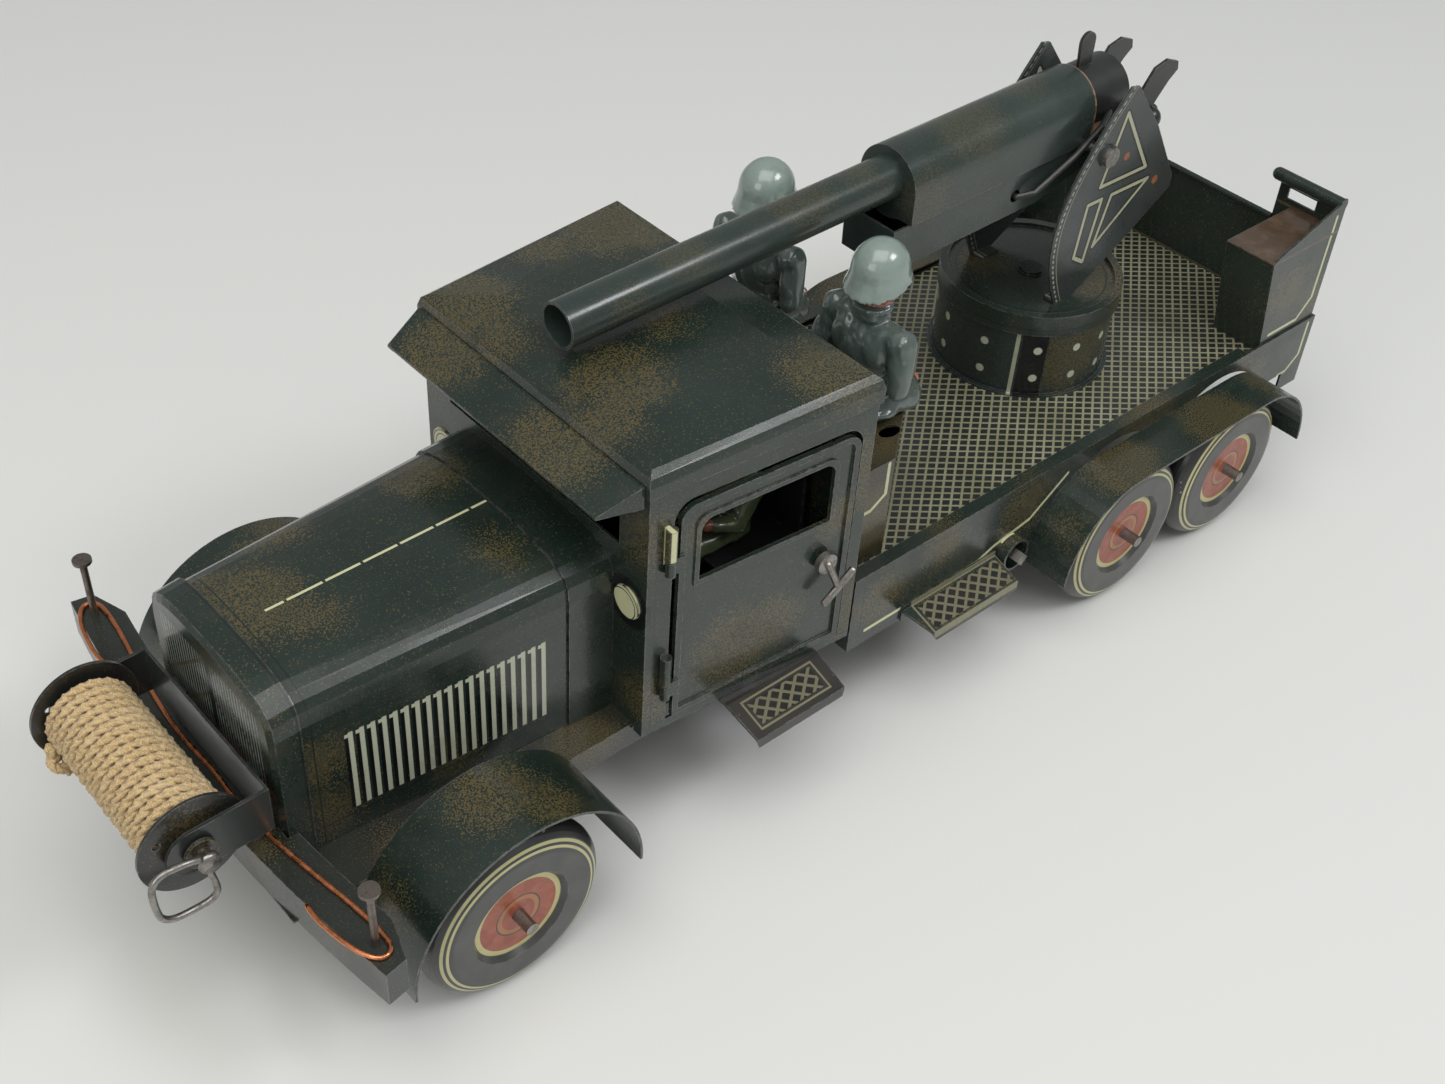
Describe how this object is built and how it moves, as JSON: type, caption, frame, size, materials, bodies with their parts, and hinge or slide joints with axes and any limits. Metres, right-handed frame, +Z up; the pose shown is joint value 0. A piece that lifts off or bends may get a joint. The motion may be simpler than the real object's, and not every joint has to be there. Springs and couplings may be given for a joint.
{
  "type": "toy truck with winch and turret gun",
  "caption": "Tinplate clockwork toy truck with tandem rear axles, rope winch, opening cab doors, seated crew and a turret-mounted gun on the bed",
  "frame": {"origin": "on the ground under the middle of the truck's bounding box", "axes": "+X points forward over the winch, +Y to the truck's left side, +Z up"},
  "size_m": [0.3498, 0.127, 0.1384],
  "materials": {
    "green_tin": "lithographed tin, dark blue-green, satin",
    "camo_tin": "lithographed tin, dark green with sprayed olive-brown patches",
    "black_tin": "dark lacquered tin",
    "bright_steel": "plain steel, slightly tarnished",
    "copper": "bare copper wire",
    "gear_brass": "stamped brass",
    "rope": "twisted jute",
    "figure_grey": "painted composition, grey-green, glossy",
    "figure_green": "painted composition, green",
    "wheel_tin": "lithographed tin wheel, grey tyre, red hub, cream rings",
    "spring_steel": "blued spring steel"
  },
  "bodies": {
    "truck": {"chassis_frame": "black_tin", "front_bumper": "green_tin", "bumper_pins": "bright_steel", "copper_wire": "copper", "winch_bracket": "green_tin", "radiator_shell": "green_tin", "bonnet": "green_tin", "front_fender_left": "green_tin", "front_fender_right": "green_tin", "cab_body": "camo_tin", "cab_roof": "camo_tin", "sun_visor": "green_tin", "cab_seat": "green_tin", "cab_step_left": "green_tin", "cab_step_right": "green_tin", "driver": "figure_green", "steering_column": "black_tin", "bed_floor": "camo_tin", "bed_skirt": "green_tin", "bed_step_left": "green_tin", "bed_step_right": "green_tin", "crew_bench": "camo_tin", "crew_left": "figure_grey", "crew_right": "figure_grey", "rear_seat": "camo_tin", "rear_fender_left": "camo_tin", "rear_fender_right": "camo_tin", "turret_base": "green_tin", "motor_frame": "bright_steel", "mainspring": "spring_steel"},
    "front_steer": {"axle_bracket": "black_tin", "front_axle": "bright_steel"},
    "front_wheel_left": {"wheel_front_left": "wheel_tin"},
    "front_wheel_right": {"wheel_front_right": "wheel_tin"},
    "mid_axle_set": {"mid_axle": "bright_steel", "wheel_mid_left": "wheel_tin", "wheel_mid_right": "wheel_tin"},
    "rear_axle_set": {"rear_axle": "bright_steel", "wheel_rear_left": "wheel_tin", "wheel_rear_right": "wheel_tin"},
    "idler": {"idler_gear": "gear_brass"},
    "winding": {"winding_arbor": "bright_steel"},
    "door_left_leaf": {"door_left": "green_tin"},
    "door_right_leaf": {"door_right": "green_tin"},
    "door_left_lever": {"door_handle_left": "bright_steel"},
    "door_right_lever": {"door_handle_right": "bright_steel"},
    "winch": {"winch_drum": "black_tin", "winch_rope": "rope", "winch_crank": "bright_steel"},
    "steering": {"steering_wheel": "black_tin"},
    "turret": {"turret_cap": "green_tin", "cheek_left": "green_tin", "cheek_right": "green_tin", "trunnion_pin": "bright_steel"},
    "gun": {"gun_cradle": "green_tin", "gun_sleeve": "camo_tin", "gun_barrel": "camo_tin", "gun_breech": "black_tin"}
  },
  "joints": [
    {"name": "front_steering", "type": "hinge", "parent": "truck", "child": "front_steer", "pos_m": [0.11023, 0, 0.034], "axis": [0, 0, 1], "range_deg": [-4, 4]},
    {"name": "front_wheel_left_spin", "type": "hinge", "parent": "front_steer", "child": "front_wheel_left", "pos_m": [0.11023, 0.04945, 0.022], "axis": [0, 1, 0], "continuous": true},
    {"name": "front_wheel_right_spin", "type": "hinge", "parent": "front_steer", "child": "front_wheel_right", "pos_m": [0.11023, -0.04945, 0.022], "axis": [0, 1, 0], "continuous": true},
    {"name": "mid_axle_spin", "type": "hinge", "parent": "truck", "child": "mid_axle_set", "pos_m": [-0.08728, 0, 0.022], "axis": [0, 1, 0], "continuous": true},
    {"name": "rear_axle_spin", "type": "hinge", "parent": "truck", "child": "rear_axle_set", "pos_m": [-0.13187, 0, 0.022], "axis": [0, 1, 0], "continuous": true},
    {"name": "idler_spin", "type": "hinge", "parent": "truck", "child": "idler", "pos_m": [-0.06828, 0, 0.02217], "axis": [0, 1, 0], "continuous": true},
    {"name": "winding_spin", "type": "hinge", "parent": "truck", "child": "winding", "pos_m": [-0.04868, 0, 0.031], "axis": [0, 1, 0], "continuous": true},
    {"name": "door_left_swing", "type": "hinge", "parent": "truck", "child": "door_left_leaf", "pos_m": [0.06175, 0.04085, 0.047], "axis": [0, 0, -1], "range_deg": [0, 75]},
    {"name": "door_right_swing", "type": "hinge", "parent": "truck", "child": "door_right_leaf", "pos_m": [0.06175, -0.04085, 0.047], "axis": [0, 0, 1], "range_deg": [0, 75]},
    {"name": "door_left_lever_turn", "type": "hinge", "parent": "door_left_leaf", "child": "door_left_lever", "pos_m": [0.01969, 0.04313, 0.0646], "axis": [0.0838, 0.9965, 0], "range_deg": [-30, 30]},
    {"name": "door_right_lever_turn", "type": "hinge", "parent": "door_right_leaf", "child": "door_right_lever", "pos_m": [0.01969, -0.04313, 0.0646], "axis": [-0.0838, 0.9965, 0], "range_deg": [-30, 30]},
    {"name": "winch_turn", "type": "hinge", "parent": "truck", "child": "winch", "pos_m": [0.16232, 0, 0.0555], "axis": [0, 1, 0], "continuous": true},
    {"name": "steering_wheel_turn", "type": "hinge", "parent": "truck", "child": "steering", "pos_m": [0.04612, 0.0184, 0.0726], "axis": [-0.4384, 0, 0.8988], "range_deg": [-36, 36]},
    {"name": "turret_traverse", "type": "hinge", "parent": "truck", "child": "turret", "pos_m": [-0.09767, 0, 0.068], "axis": [0, 0, 1], "range_deg": [-4, 4]},
    {"name": "gun_elevation", "type": "hinge", "parent": "turret", "child": "gun", "pos_m": [-0.09928, 0, 0.1124], "axis": [0, -1, 0], "range_deg": [0, 60]}
  ],
  "couplings": [
    {"joint": "idler_spin", "follows": "mid_axle_spin", "ratio": -0.35714},
    {"joint": "winding_spin", "follows": "mid_axle_spin", "ratio": 0.19133},
    {"joint": "steering_wheel_turn", "follows": "front_steering", "ratio": 9}
  ]
}
